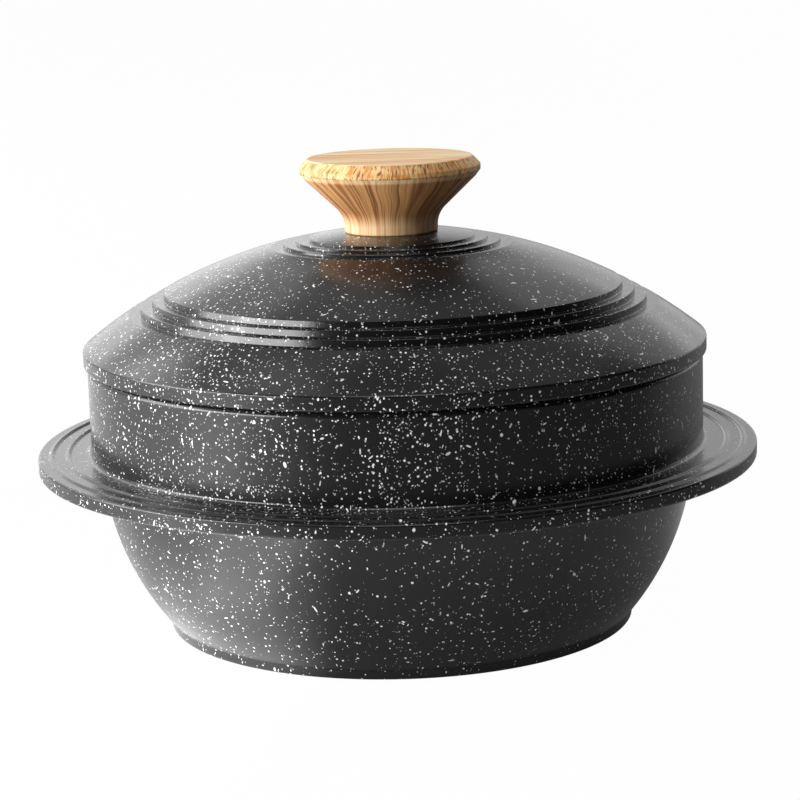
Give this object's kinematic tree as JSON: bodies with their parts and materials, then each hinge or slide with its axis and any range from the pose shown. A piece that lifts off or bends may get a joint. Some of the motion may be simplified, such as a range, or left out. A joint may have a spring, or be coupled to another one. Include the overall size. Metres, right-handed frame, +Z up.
{
  "type": "dutch oven",
  "caption": "Round lidded pot with a curved bowl, a full-round grip flange, a domed lid with turned steps and a flared wooden knob, in a dark white-flecked finish.",
  "frame": {"origin": "centre of the flat underside of the foot, at table level", "axes": "+Z up along the axis of the pot, lid and knob; X and Y are level, and the pot is round, so their direction matters only for the slot of the hidden screw, which runs along X"},
  "size_m": [0.2908, 0.2908, 0.1882],
  "materials": {
    "speckled_glaze": "satin",
    "turned_wood": "satin",
    "insert_brass": "satin",
    "screw_steel": "satin",
    "washer_silicone": "matte"
  },
  "bodies": {
    "root": {"pot_body": "speckled_glaze", "lid": "speckled_glaze", "knob": "turned_wood", "knob_insert": "insert_brass", "knob_screw": "screw_steel", "screw_washer": "screw_steel", "soft_washer": "washer_silicone"}
  },
  "joints": []
}
